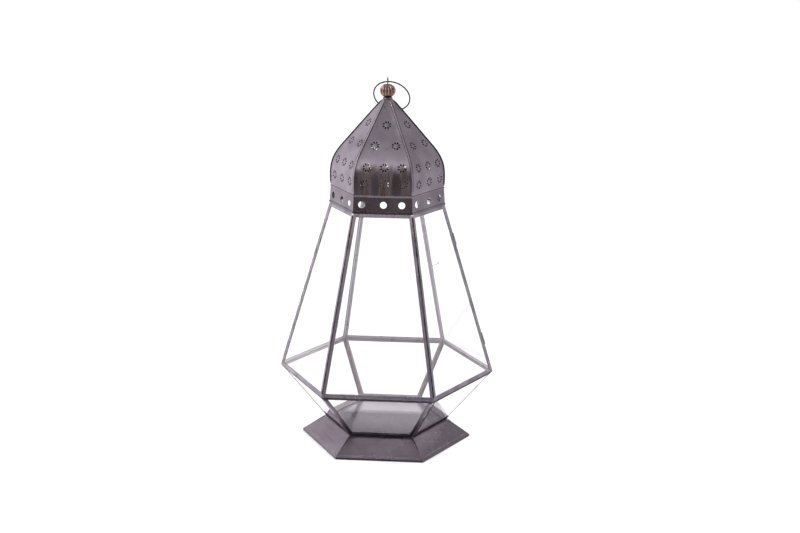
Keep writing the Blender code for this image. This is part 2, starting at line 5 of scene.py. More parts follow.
import bmesh
import bpy
from mathutils import Matrix, Vector, noise
from mathutils.geometry import delaunay_2d_cdt


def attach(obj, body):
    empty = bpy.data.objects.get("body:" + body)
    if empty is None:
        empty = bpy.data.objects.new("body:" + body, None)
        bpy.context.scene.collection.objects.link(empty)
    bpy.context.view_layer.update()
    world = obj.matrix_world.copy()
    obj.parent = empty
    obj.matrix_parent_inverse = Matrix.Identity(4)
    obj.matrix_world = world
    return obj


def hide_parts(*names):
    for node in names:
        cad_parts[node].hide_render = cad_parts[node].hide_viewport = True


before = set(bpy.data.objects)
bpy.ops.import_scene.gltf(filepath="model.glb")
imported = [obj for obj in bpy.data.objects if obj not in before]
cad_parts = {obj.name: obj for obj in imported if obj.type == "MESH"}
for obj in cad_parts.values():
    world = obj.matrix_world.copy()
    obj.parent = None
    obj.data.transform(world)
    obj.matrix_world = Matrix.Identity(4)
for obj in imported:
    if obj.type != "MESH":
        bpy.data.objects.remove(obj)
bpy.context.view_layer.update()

# ---- sizes that the CAD part has too, in metres --------------------------------------------------------
# Azimuths are in degrees, anticlockwise seen from above, with 0 at the right and the front at 270.
FACES = {"front": 270, "front_right": 330, "back_right": 30, "back": 90, "back_left": 150, "front_left": 210}
CORNERS = {"right": 0, "back_right": 60, "back_left": 120, "left": 180, "front_left": 240, "front_right": 300}
HALF_FACE = 30
CORNER_TO_FACE = math.cos(math.pi / 6)
UP = Vector((0.0, 0.0, 1.0))

# Corner radius and height of each level.
FOOT = (0.1202, 0.0025)
WAIST = (0.0872, 0.0250)
GIRDLE = (0.1513, 0.0995)
COLLAR_FOOT = (0.0797, 0.3385)
DOME_FOOT = (0.0780, 0.3632)
DOME_BULGE = (0.0788, 0.3777)
DOME_KNEE = (0.0573, 0.4262)
DOME_TIP = (0.0062, 0.4838)

# Slopes and handles of the dome's outline; two handles stand for one before the point and one after it.
KNEE_SLOPE = math.radians(48.1)
TIP_SLOPE = math.radians(45.0)
FOOT_HANDLE = (0.0006, 0.004)
BULGE_HANDLES = (0.005, 0.0213)
KNEE_HANDLES = (0.0232, 0.0124)
TIP_HANDLE = 0.0149

DOME_SHEET = 0.0005
GORE_SIDE_GAP = 0.00045
FLOWER_SHIFT = 0.0018
# Each row's distance up the gore, and its flowers' places across the gore.
FLOWER_ROWS = (
    (0.0155, (-0.0256, 0.0, 0.0256)),
    (0.0375, (-0.0233, 0.0, 0.0233)),
    (0.0690, (-0.0140, 0.0140)),
    (0.1003, (0.0,)),
)
FLOWER_LIFT = {"front_right": -0.0020, "front_left": 0.0012}
PETALS = 8
PETAL_CENTRE = 0.0045

HEM_FOLD = 0.10                       # the hem's share of the skirt
DOOR_FACE = "back_right"
DOOR_CORNERS = ("right", "back_right")

BEAD_CENTRE = 0.4940
BEAD_RADIUS = 0.0109
BEAD_HALF_HEIGHT = 0.0094
BEAD_TOP = 0.5027
BEAD_FOOT = 0.4853
PIN_BORE = 0.0011
EYE_CENTRE = 0.5062
RING_RADIUS = 0.0253
RING_WIRE = 0.00095
RING_LEAN = math.radians(31.0)
RING_SWING = math.radians(10.0)
RING_TWIST = math.radians(9.0)

HINGE_PLACES = (0.20, 0.80)
KNUCKLE_LENGTH = 0.0080
FIT_GAP = 0.0003
LATCH_PLACE = 0.503


# ---- shader graphs -------------------------------------------------------------------------------------
def rgb(red, green, blue):
    return (red, green, blue, 1.0)


class Nodes:
    """A node tree, with short ways to add the usual nodes."""

    def __init__(self, tree):
        self.tree = tree

    def feed(self, socket, value):
        if isinstance(value, bpy.types.NodeSocket):
            self.tree.links.new(value, socket)
        else:
            socket.default_value = value

    def add(self, kind, inputs=None, **settings):
        node = self.tree.nodes.new(kind)
        for key, value in settings.items():
            setattr(node, key, value)
        for key, value in (inputs or {}).items():
            self.feed(node.inputs[key], value)
        return node

    def spread(self, value, low, high, to_low=0.0, to_high=1.0):
        """A smooth step from to_low to to_high as the value goes from low to high."""
        inputs = {0: value, 1: low, 2: high, 3: to_low, 4: to_high}
        return self.add("ShaderNodeMapRange", inputs, interpolation_type="SMOOTHSTEP").outputs[0]

    def maths(self, operation, first, second=0.0, third=0.0):
        inputs = {0: first, 1: second, 2: third}
        return self.add("ShaderNodeMath", inputs, operation=operation).outputs[0]

    def tint(self, factor, first, second, blend="MIX"):
        inputs = {0: factor, 6: first, 7: second}
        return self.add("ShaderNodeMix", inputs, data_type="RGBA", blend_type=blend).outputs[2]

    def ramp(self, value, stops):
        """Colour that follows a value through (value, colour) stops between 0 and 1."""
        ramp = self.add("ShaderNodeValToRGB", {0: value})
        bands = ramp.color_ramp
        for index, (position, colour) in enumerate(stops):
            stop = bands.elements[index] if index < 2 else bands.elements.new(position)
            stop.position = position
            stop.color = colour
        return ramp.outputs[0]


class Graph(Nodes):
    """A new material's nodes, in the object's own space."""

    def __init__(self, name):
        self.material = bpy.data.materials.new(name)
        self.material.use_nodes = True
        super().__init__(self.material.node_tree)
        self.shader = self.tree.nodes["Principled BSDF"]
        self.place = self.add("ShaderNodeTexCoord").outputs["Object"]

    def noise(self, scale, detail=3.0, stretch=None, distortion=0.0):
        """Noise in object space; stretch gives a scale for each axis."""
        place = self.place
        if stretch:
            place = self.add("ShaderNodeMapping", {"Vector": place, "Scale": stretch}).outputs[0]
        inputs = {"Vector": place, "Scale": scale, "Detail": detail, "Distortion": distortion}
        return self.add("ShaderNodeTexNoise", inputs).outputs[0]

    def depth(self):
        return self.add("ShaderNodeSeparateXYZ", {0: self.place}).outputs[1]

    def height(self):
        return self.add("ShaderNodeSeparateXYZ", {0: self.place}).outputs[2]

    def inward(self):
        """1 on surfaces that face the lantern's axis and 0 on those that face away from it."""
        normal = self.place.node.outputs["Normal"]
        level = self.add("ShaderNodeVectorMath", {0: self.place, 1: (1.0, 1.0, 0.0)}, operation="MULTIPLY")
        radial = self.add("ShaderNodeVectorMath", {0: level.outputs[0]}, operation="NORMALIZE").outputs[0]
        dot = self.add("ShaderNodeVectorMath", {0: normal, 1: radial}, operation="DOT_PRODUCT")
        return self.spread(dot.outputs["Value"], -0.15, -0.45)

    def crevice(self, distance, samples=6):
        """0 on open surfaces and 1 where other surfaces stand within the distance."""
        node = self.add("ShaderNodeAmbientOcclusion", {"Distance": distance}, samples=samples)
        return self.spread(node.outputs["AO"], 0.75, 0.25)

    def edges(self, radius):
        """1 along sharp edges and 0 elsewhere."""
        rounded = self.add("ShaderNodeBevel", {"Radius": radius}, samples=4).outputs[0]
        true = self.add("ShaderNodeNewGeometry").outputs["True Normal"]
        dot = self.add("ShaderNodeVectorMath", {0: rounded, 1: true}, operation="DOT_PRODUCT")
        return self.spread(dot.outputs["Value"], 0.995, 0.86)

    def tones(self, value, stops):
        """Grey that follows a value through (value, grey) stops."""
        low, high = stops[0][0], stops[-1][0]
        place = self.add("ShaderNodeMapRange", {0: value, 1: low, 2: high}).outputs[0]
        return self.ramp(place, [((at - low) / (high - low), rgb(grey, grey, grey)) for at, grey in stops])

    def bump(self, height, strength, distance, rounding=None):
        """Relief from a height; rounding is the radius that sharp edges are shaded with."""
        inputs = {"Strength": strength, "Distance": distance, "Height": height}
        if rounding:
            inputs["Normal"] = self.add("ShaderNodeBevel", {"Radius": rounding}, samples=6).outputs[0]
        return self.add("ShaderNodeBump", inputs).outputs[0]

    def finish(self, **sockets):
        for key, value in sockets.items():
            self.feed(self.shader.inputs[key.replace("_", " ")], value)
        return self.material


# ---- materials -----------------------------------------------------------------------------------------
# Pale colour of the edges: partly rubbed wear, partly painted highlight.
RUBBED_AND_HIGHLIGHT = rgb(0.60, 0.56, 0.60)
# Near black of the painted shade in crevices.
CREVICE_SHADE = rgb(0.030, 0.024, 0.028)


def aged_metal(name, pale, dark, brown, brown_low=0.55, roughness=0.30, streaks=(140.0, 140.0, 22.0),
               brown_below=None, shade=None, inside=None, wear_and_highlight=0.45, crevice=0.0022, blue=None,
               relief=0.30, rounding=None, edge_width=0.00035, gloss=None):
    """Blackened sheet metal: clouded colour, brown streaks, painted shade in crevices, and edges lightened
    partly as rubbed wear and partly as painted highlight.

    brown_below is the height under which the streaks show; shade is a row of (height, grey) stops of painted
    light and shade by height; inside is the colour of the surfaces that face the lantern's axis, painted
    light where pale and painted shade where dark; gloss is the specular level and tint.
    """
    g = Graph(name)
    cloud = g.noise(34.0, 5.0)
    streak = g.noise(1.0, 3.0, stretch=streaks)
    grain = g.noise(900.0, 2.0)
    colour = g.tint(g.spread(cloud, 0.30, 0.68), dark, pale)
    colour = g.tint(g.spread(streak, 0.46, 0.30, 0.0, 0.55), colour, dark)
    # Painted reflection: cloudy bluish patches.
    if blue:
        colour = g.tint(g.spread(g.noise(9.0, 1.0), 0.48, 0.62, 0.0, 0.45), colour, blue)
    rusty = g.spread(streak, brown_low, brown_low + 0.16)
    if brown_below:
        rusty = g.maths("MULTIPLY", rusty, g.spread(g.height(), brown_below, brown_below - 0.012))
    else:
        rusty = g.maths("MULTIPLY", rusty, g.spread(cloud, 0.62, 0.42))
    colour = g.tint(rusty, colour, brown)
    colour = g.tint(g.spread(grain, 0.62, 0.76, 0.0, 0.25), colour, dark)
    # Painted light and shade by height.
    if shade:
        colour = g.tint(1.0, colour, g.tones(g.height(), shade), blend="MULTIPLY")
    # Edges lightened, partly as rubbed wear and partly as a painted highlight.
    colour = g.tint(g.maths("MULTIPLY", g.edges(edge_width), wear_and_highlight), colour, RUBBED_AND_HIGHLIGHT)
    # Painted shade: darker where other surfaces stand close, in seams and corners.
    colour = g.tint(g.maths("MULTIPLY", g.crevice(crevice), 0.85), colour, CREVICE_SHADE)
    metallic = g.spread(rusty, 0.0, 1.0, 1.0, 0.45)
    # Inner faces get a painted colour: pale as painted light, dark as painted shade.
    if inside:
        facing_in = g.inward()
        colour = g.tint(facing_in, colour, inside)
        metallic = g.maths("MULTIPLY", metallic, g.spread(facing_in, 0.0, 1.0, 1.0, 0.25))
    # Painted light and shade: the piece's own grey multiplies its colour.
    tone = g.add("ShaderNodeObjectInfo").outputs["Color"]
    colour = g.tint(1.0, colour, tone, blend="MULTIPLY")
    rough = g.spread(cloud, 0.3, 0.7, roughness + 0.07, roughness - 0.05)
    rough = g.maths("ADD", rough, g.maths("MULTIPLY", rusty, 0.15))
    height = g.maths("ADD", g.maths("MULTIPLY", grain, 0.18), g.noise(160.0, 3.0))
    normal = g.bump(height, relief, 0.00010, rounding)
    if gloss:
        g.finish(Specular_IOR_Level=gloss[0], Specular_Tint=gloss[1])
    return g.finish(Base_Color=colour, Metallic=metallic, Roughness=rough, Normal=normal)


def painted_shade_inside(name):
    """Unpolished inner side of the dome, painted near black as shade."""
    g = Graph(name)
    cloud = g.spread(g.noise(60.0, 4.0), 0.35, 0.65)
    colour = g.tint(cloud, rgb(0.020, 0.017, 0.018), rgb(0.050, 0.042, 0.044))
    rough = g.spread(g.noise(200.0, 3.0), 0.3, 0.7, 0.60, 0.85)
    normal = g.bump(g.noise(500.0, 3.0), 0.3, 0.0001)
    return g.finish(Base_Color=colour, Metallic=0.6, Roughness=rough, Normal=normal)


def floor_sheet(name):
    """Smooth plate that the panes stand on: dark in front and pale behind as a painted reflection, with wiped
    smears and painted shade where other parts stand close.
    """
    g = Graph(name)
    smear = g.noise(1.0, 4.0, stretch=(16.0, 90.0, 16.0), distortion=0.6)
    cloud = g.noise(26.0, 4.0)
    # Painted reflection: darker in front, pale at the back.
    colour = g.tint(g.spread(g.depth(), -0.070, -0.012), rgb(0.155, 0.135, 0.16), rgb(0.245, 0.215, 0.25))
    colour = g.tint(g.spread(g.depth(), 0.022, 0.030), colour, rgb(0.50, 0.455, 0.51))
    colour = g.tint(g.spread(smear, 0.50, 0.68, 0.0, 0.30), colour, rgb(0.26, 0.22, 0.24))
    # Painted shade where other parts stand close.
    colour = g.tint(g.maths("MULTIPLY", g.crevice(0.004), 0.85), colour, rgb(0.05, 0.042, 0.048))
    rough = g.spread(cloud, 0.3, 0.7, 0.14, 0.26)
    normal = g.bump(g.noise(45.0, 2.0), 0.08, 0.0003)
    return g.finish(Base_Color=colour, Metallic=1.0, Roughness=rough, Normal=normal)


def joint_gum(name):
    """Clear glazing gum in the bare joints between panes."""
    g = Graph(name)
    colour = g.tint(g.spread(g.noise(120.0, 3.0), 0.35, 0.65), rgb(0.42, 0.39, 0.44), rgb(0.58, 0.55, 0.60))
    rough = g.spread(g.noise(240.0, 3.0), 0.3, 0.7, 0.28, 0.42)
    normal = g.bump(g.noise(300.0, 2.0), 0.3, 0.0002)
    return g.finish(Base_Color=colour, Transmission_Weight=0.35, IOR=1.41, Roughness=rough, Normal=normal)


def solder(name, clean, tarnish, tarnish_level):
    """Tin solder: bright where it was wiped, dull and dark where it has tarnished."""
    g = Graph(name)
    patch = g.noise(95.0, 3.0)
    grain = g.noise(700.0, 2.0)
    dulled = g.spread(patch, tarnish_level, tarnish_level + 0.14)
    colour = g.tint(dulled, clean, tarnish)
    # Painted shade where the solder meets other parts.
    colour = g.tint(g.maths("MULTIPLY", g.crevice(0.0014), 0.7), colour, rgb(0.04, 0.035, 0.04))
    # Painted light and shade: the piece's own grey multiplies its colour.
    tone = g.add("ShaderNodeObjectInfo").outputs["Color"]
    colour = g.tint(1.0, colour, tone, blend="MULTIPLY")
    rough = g.spread(dulled, 0.0, 1.0, 0.20, 0.42)
    height = g.maths("ADD", g.maths("MULTIPLY", grain, 0.3), g.noise(260.0, 2.0))
    normal = g.bump(height, 0.3, 0.00015)
    return g.finish(Base_Color=colour, Metallic=1.0, Roughness=rough, Normal=normal)


def copper(name):
    """Copper with a brown patina, nearly black between the lobes."""
    g = Graph(name)
    cloud = g.noise(240.0, 4.0)
    patina = g.spread(cloud, 0.50, 0.68)
    colour = g.tint(patina, rgb(0.43, 0.28, 0.255), rgb(0.20, 0.105, 0.09))
    colour = g.tint(g.crevice(0.0042, 8), colour, rgb(0.022, 0.011, 0.010))
    rough = g.spread(patina, 0.0, 1.0, 0.26, 0.45)
    normal = g.bump(g.noise(900.0, 3.0), 0.35, 0.0001)
    return g.finish(Base_Color=colour, Metallic=1.0, Roughness=rough, Normal=normal)


def dark_wire(name):
    """Blackened iron wire with a few rusty spots."""
    g = Graph(name)
    cloud = g.noise(180.0, 4.0)
    colour = g.tint(g.spread(cloud, 0.4, 0.65), rgb(0.035, 0.030, 0.036), rgb(0.085, 0.073, 0.084))
    colour = g.tint(g.spread(g.noise(420.0, 2.0), 0.60, 0.72), colour, rgb(0.07, 0.04, 0.03))
    rough = g.spread(cloud, 0.3, 0.7, 0.48, 0.30)
    normal = g.bump(g.noise(1400.0, 2.0), 0.3, 0.00008)
    return g.finish(Base_Color=colour, Metallic=1.0, Roughness=rough, Normal=normal)


def clear_glass(name):
    """Plain float glass with a breath of haze and slow waves in its surface."""
    g = Graph(name)
    rough = g.spread(g.noise(22.0, 4.0), 0.45, 0.75, 0.0, 0.035)
    normal = g.bump(g.noise(14.0, 1.0), 0.012, 0.0006)
    g.finish(Base_Color=rgb(0.985, 0.982, 0.988), Transmission_Weight=1.0, IOR=1.46)
    return g.finish(Roughness=rough, Normal=normal)


# ---- placing -------------------------------------------------------------------------------------------
def direction(azimuth):
    angle = math.radians(azimuth)
    return Vector((math.cos(angle), math.sin(angle), 0.0))


def level_point(level, azimuth):
    return direction(azimuth) * level[0] + UP * level[1]


def axes_matrix(x_axis, y_axis, z_axis, origin):
    """Matrix of three unit axes at a point."""
    matrix = Matrix((x_axis, y_axis, z_axis)).transposed().to_4x4()
    matrix.translation = origin
    return matrix


def face_out(azimuth, lower, upper):
    """Outward normal of the flat face between two levels."""
    foot = direction(azimuth) * lower[0] * CORNER_TO_FACE + UP * lower[1]
    head = direction(azimuth) * upper[0] * CORNER_TO_FACE + UP * upper[1]
    return direction(azimuth + 90).cross(head - foot).normalized()


def wobble(point, scale, seed=0.0):
    """Smooth random value between about -1 and 1."""
    return noise.noise(Vector(point) * scale + Vector((seed, 3.1 * seed, 7.7 * seed)))


# ---- pieces --------------------------------------------------------------------------------------------
def add_piece(name, vertices, faces, material, slot, body="lantern", replaces=(), sharp=40.0, tone=1.0,
              inner=None, inner_from=None):
    """Adds a mesh as a piece; faces from index inner_from on take the inner material."""
    mesh = bpy.data.meshes.new(name)
    mesh.from_pydata([tuple(v) for v in vertices], [], faces)
    shape = bmesh.new()
    shape.from_mesh(mesh)
    bmesh.ops.recalc_face_normals(shape, faces=shape.faces)
    shape.to_mesh(mesh)
    shape.free()
    mesh.shade_smooth()
    mesh.set_sharp_from_angle(angle=math.radians(sharp))
    mesh.materials.append(material)
    if inner:
        mesh.materials.append(inner)
        for polygon in mesh.polygons[inner_from:]:
            polygon.material_index = 1
    piece = bpy.data.objects.new(name, mesh)
    bpy.context.scene.collection.objects.link(piece)
    # The piece's grey is its painted light and shade.
    piece.color = (tone, tone, tone, 1.0)
    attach(piece, body)
    if replaces:
        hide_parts(*replaces)
    return piece


class Lumps:
    """Collects closed lumps and beads of metal into one mesh."""

    def __init__(self):
        self.vertices = []
        self.faces = []

    def rings(self, rings):
        """Closed skin over a row of equal rings of points, with a fan at each end."""
        base = len(self.vertices)
        count = len(rings[0])
        for ring in rings:
            self.vertices += ring
        for row in range(len(rings) - 1):
            for step in range(count):
                a = base + row * count + step
                b = base + row * count + (step + 1) % count
                self.faces.append((a, b, b + count, a + count))
        for ring, start in ((rings[0], base), (rings[-1], base + (len(rings) - 1) * count)):
            middle = len(self.vertices)
            self.vertices.append(sum(ring, Vector()) / count)
            for step in range(count):
                self.faces.append((start + step, start + (step + 1) % count, middle))

    def bead(self, path, outward, section, lumpy, seed, sides=10):
        """Bead along a path; its section is an ellipse that swells and thins along the way."""
        half_width, half_height = section
        rings = []
        for index, point in enumerate(path):
            before = path[max(index - 1, 0)]
            after = path[min(index + 1, len(path) - 1)]
            along = (after - before).normalized()
            side = along.cross(outward).normalized()
            up = side.cross(along)
            end = min((point - path[0]).length, (point - path[-1]).length)
            taper = min(1.0, 0.25 + end / (3 * half_width))
            coarse = lumpy * wobble(point, 160.0, seed)
            fine = 0.5 * lumpy * wobble(point, 420.0, seed)
            swell = taper * (1.0 + coarse + fine)
            ring = []
            for step in range(sides):
                angle = math.tau * step / sides
                across = side * math.cos(angle) * half_width * swell
                ring.append(point + across + up * math.sin(angle) * half_height * swell)
            rings.append(ring)
        self.rings(rings)

    def blob(self, matrix, size, lumpy, seed):
        """Lump whose half sizes lie along the matrix's axes."""
        shape = bmesh.new()
        bmesh.ops.create_icosphere(shape, subdivisions=3, radius=1.0)
        base = len(self.vertices)
        for vertex in shape.verts:
            co = vertex.co * (1.0 + lumpy * wobble(vertex.co, 1.6, seed))
            self.vertices.append(matrix @ Vector((co.x * size[0], co.y * size[1], co.z * size[2])))
        self.faces += [tuple(v.index + base for v in face.verts) for face in shape.faces]
        shape.free()

    def piece(self, name, material, slot="antiqued_sheet", **settings):
        return add_piece(name, self.vertices, self.faces, material, slot, **settings)


def line_points(start, end, step=0.0012):
    """Points from start to end, about a step apart."""
    count = max(2, round((end - start).length / step))
    return [start.lerp(end, index / count) for index in range(count + 1)]


# ---- dome ----------------------------------------------------------------------------------------------
def bezier(start, start_handle, end_handle, end, steps):
    """Points along a cubic curve, without its first one."""
    points = []
    for step in range(1, steps + 1):
        t = step / steps
        s = 1.0 - t
        points.append(start * s**3 + start_handle * 3 * s**2 * t + end_handle * 3 * s * t**2 + end * t**3)
    return points


def dome_corner_curve():
    """Corner outline of the dome as (radius, height) points, the same curve as the CAD part's."""
    foot, bulge, knee, tip = (Vector(p) for p in (DOME_FOOT, DOME_BULGE, DOME_KNEE, DOME_TIP))
    knee_way = Vector((-math.cos(KNEE_SLOPE), math.sin(KNEE_SLOPE)))
    tip_way = Vector((-math.cos(TIP_SLOPE), math.sin(TIP_SLOPE)))
    curve = [foot]
    before, after = (Vector((0, length)) for length in BULGE_HANDLES)
    curve += bezier(foot, foot + Vector(FOOT_HANDLE), bulge - before, bulge, 16)
    curve += bezier(bulge, bulge + after, knee - KNEE_HANDLES[0] * knee_way, knee, 48)
    curve += bezier(knee, knee + KNEE_HANDLES[1] * knee_way, tip - TIP_HANDLE * tip_way, tip, 48)
    return curve


class Profile:
    """Middle line of a gore by distance up from the collar."""

    def __init__(self):
        self.points = [Vector((point.x * CORNER_TO_FACE, point.y)) for point in dome_corner_curve()]
        self.distances = [0.0]
        for start, end in zip(self.points, self.points[1:]):
            self.distances.append(self.distances[-1] + (end - start).length)
        self.length = self.distances[-1]

    def at(self, distance):
        distance = min(max(distance, 0.0), self.length)
        index = 1
        while self.distances[index] < distance:
            index += 1
        part = (distance - self.distances[index - 1]) / (self.distances[index] - self.distances[index - 1])
        start, end = self.points[index - 1], self.points[index]
        return start.lerp(end, part), (end - start).normalized()

    def half_width(self, distance):
        return self.at(distance)[0].x * math.tan(math.pi / 6) - GORE_SIDE_GAP


# Half length and half width of a petal, and of the ring of points round it that keeps the triangles even.
PETAL_SIZE = (0.00178, 0.00112)
PETAL_GUARD = (0.00222, 0.00146)
PETAL_CLEARANCE = 0.0026
POINT_SPACING = 0.0016
SIDE_CLEARANCE = 0.0009
TIP_HOLE = (-0.0028, 0.0130)          # a stray hole in the front gore: across, and down from the tip
TIP_HOLE_RADIUS = 0.0009
TIP_HOLE_CLEARANCE = 0.0018
CUT_REACH = 0.004                     # no cut is longer than this

# Unevenness of the beaten sheet.
WAVE_HEIGHT = 0.00035
WAVE_SCALE = 26.0
SHEET_SINK = 0.0002
EDGE_SETTLE = 0.006                   # the waves fade out this close to an edge
FLOWER_REACH = 0.0095
BOSS_HEIGHT, BOSS_RADIUS = 0.00010, 0.0022
DIMPLE_DEPTH, DIMPLE_WIDTH = 0.00016, 0.0018


def spaced(start, end, steps):
    return [start + (end - start) * i / steps for i in range(steps + 1)]


def petal_ring(centre, turn, length, width, count=12):
    """Outline of one petal, a little pointed at its outer end."""
    points = []
    for step in range(count):
        angle = math.tau * step / count
        x = PETAL_CENTRE + length * math.cos(angle)
        y = width * math.sin(angle) * (1.0 + 0.18 * math.cos(angle))
        points.append(Vector((
            centre[0] + x * math.cos(turn) - y * math.sin(turn),
            centre[1] + x * math.sin(turn) + y * math.cos(turn),
        )))
    return points


def round_ring(centre, radius, count=12):
    points = []
    for step in range(count):
        angle = math.tau * step / count
        points.append(Vector((centre[0] + radius * math.cos(angle), centre[1] + radius * math.sin(angle))))
    return points


def gore_outline(profile):
    """Edge of the flat gore: up its left side, over the tip, down its right side and back along the foot."""
    left = [Vector((-profile.half_width(up), up)) for up in spaced(0.0, profile.length, 96)]
    right = [Vector((-point.x, point.y)) for point in reversed(left)]
    foot = [Vector((x, 0.0)) for x in spaced(-left[0].x, left[0].x, 44)[1:-1]]
    head = [Vector((x, profile.length)) for x in spaced(left[-1].x, -left[-1].x, 4)[1:-1]]
    return left + head + right + foot


def near_petal(spot, centre):
    return abs((spot - Vector(centre)).length - PETAL_CENTRE) < PETAL_CLEARANCE


def sheet_points(profile, flowers, holes):
    """Even rows of points over the gore, clear of the petals and the holes."""
    points = []
    rows = int(profile.length / POINT_SPACING)
    for row in range(1, rows):
        up = profile.length * row / rows
        half = profile.half_width(up) - SIDE_CLEARANCE
        count = max(1, int(half / POINT_SPACING))
        for column in range(-count, count + 1):
            spot = Vector((half * column / count, up))
            by_petal = any(near_petal(spot, centre) for centre in flowers)
            by_hole = any((spot - Vector(centre)).length < TIP_HOLE_CLEARANCE for centre in holes)
            if not by_petal and not by_hole:
                points.append(spot)
    return points


def inside(point, loop):
    """Whether a flat point is inside a closed loop."""
    result = False
    for a, b in zip(loop, loop[1:] + loop[:1]):
        if (a.y > point.y) != (b.y > point.y):
            if point.x < (b.x - a.x) * (point.y - a.y) / (b.y - a.y) + a.x:
                result = not result
    return result


def gore_sheet(profile, flowers, holes):
    """Flat triangles of a gore, pierced, as points (across, up) and faces."""
    petals = [(centre, math.tau * (petal + 0.5) / PETALS) for centre in flowers for petal in range(PETALS)]
    cuts = [petal_ring(centre, turn, *PETAL_SIZE) for centre, turn in petals]
    cuts += [round_ring(centre, TIP_HOLE_RADIUS) for centre in holes]
    points, edges = [], []
    for loop in [gore_outline(profile)] + cuts:
        base = len(points)
        points += loop
        edges += [(base + i, base + (i + 1) % len(loop)) for i in range(len(loop))]
    for centre, turn in petals:
        points += petal_ring(centre, turn, *PETAL_GUARD, count=10)
    points += sheet_points(profile, flowers, holes)
    made = delaunay_2d_cdt(points, edges, [], 0, 1e-7)
    flat, faces = made[0], made[2]
    kept = []
    for face in faces:
        middle = sum((flat[i] for i in face), Vector((0.0, 0.0))) / 3
        if abs(middle.x) > profile.half_width(middle.y):
            continue
        if any(inside(middle, cut) for cut in cuts if (middle - cut[0]).length < CUT_REACH):
            continue
        kept.append(tuple(face))
    return flat, kept


def dent_at(profile, spot, point, flowers, seed):
    """How far the beaten sheet stands out: slow waves, with a boss and a dimple at each flower."""
    edge = min(profile.half_width(spot.y) - abs(spot.x), spot.y, profile.length - spot.y)
    settle = min(1.0, max(0.0, edge / EDGE_SETTLE))
    dent = settle * (WAVE_HEIGHT * wobble(point, WAVE_SCALE, seed) - SHEET_SINK)
    for centre in flowers:
        away = (spot - Vector(centre)).length
        if away < FLOWER_REACH:
            dent += settle * BOSS_HEIGHT * math.exp(-((away / BOSS_RADIUS) ** 2))
            dent -= settle * DIMPLE_DEPTH * math.exp(-(((away - PETAL_CENTRE) / DIMPLE_WIDTH) ** 2))
    return dent


def build_gore(face, azimuth, profile, metal, inside_shade, tone):
    """Beaten and pierced gore; its inner skin and the rims of its holes are painted dark as shade."""
    lift = FLOWER_LIFT.get(face, 0.0)
    flowers = [(place + FLOWER_SHIFT, up + lift) for up, places in FLOWER_ROWS for place in places]
    holes = [(TIP_HOLE[0], profile.length - TIP_HOLE[1])] if face == "front" else []
    flat, faces = gore_sheet(profile, flowers, holes)
    along = direction(azimuth + 90)
    outer, inner = [], []
    for spot in flat:
        (reach, height), (rise_out, rise_up) = profile.at(spot.y)
        outward = along.cross(direction(azimuth) * rise_out + UP * rise_up)
        point = direction(azimuth) * reach + along * spot.x + UP * height
        dent = dent_at(profile, spot, point, flowers, azimuth)
        outer.append(point + outward * dent)
        inner.append(point + outward * (dent - DOME_SHEET))
    count = len(outer)
    sides = dict.fromkeys(pair for tri in faces for pair in zip(tri, tri[1:] + tri[:1]))
    skin = faces + [tuple(i + count for i in reversed(tri)) for tri in faces]
    skin += [(b, a, a + count, b + count) for a, b in sides if (b, a) not in sides]
    both = outer + inner
    used = sorted({i for tri in skin for i in tri})
    index = {old: new for new, old in enumerate(used)}
    vertices = [both[i] for i in used]
    skin = [tuple(index[i] for i in tri) for tri in skin]
    return add_piece("pierced_gore_" + face, vertices, skin, metal, "antiqued_sheet",
                     replaces=["dome_gore_" + face], tone=tone, inner=inside_shade, inner_from=len(faces))


def build_dome_seam(corner, azimuth, metal, dark, tone):
    """Flat strip of solder over the joint of two gores, with a line of painted shade on each side of it."""
    curve = dome_corner_curve()[2:-3]
    strip = ("dome_seam_strip_", metal, 0.00005, (0.00125, 0.00050), ["dome_seam_" + corner])
    # A wider, flatter dark bead under the strip: painted shade along both its sides.
    line = ("dome_seam_line_", dark, -0.00020, (0.00185, 0.00045), [])
    for name, material, rise, section, replaced in (strip, line):
        path = [level_point(point + Vector((rise, 0.0)), azimuth) for point in curve]
        lumps = Lumps()
        lumps.bead(path, direction(azimuth) + UP * 0.6, section, 0.02, azimuth)
        lumps.piece(name + corner, material, replaces=replaced, tone=tone)


# ---- finial --------------------------------------------------------------------------------------------
LOBES = 14
LOBE_DEPTH = 0.24
BEAD_ROWS = 26
BEAD_LIP_RADIUS = 0.0022
LIP_DROP = 0.0002
BORE_DROP = 0.0004
RING_STEPS = 120
RING_JOIN = math.radians(70)          # from straight down, where the wire's two ends meet
RING_JOIN_GAP = 0.00022
RING_UNEVENNESS = 0.008


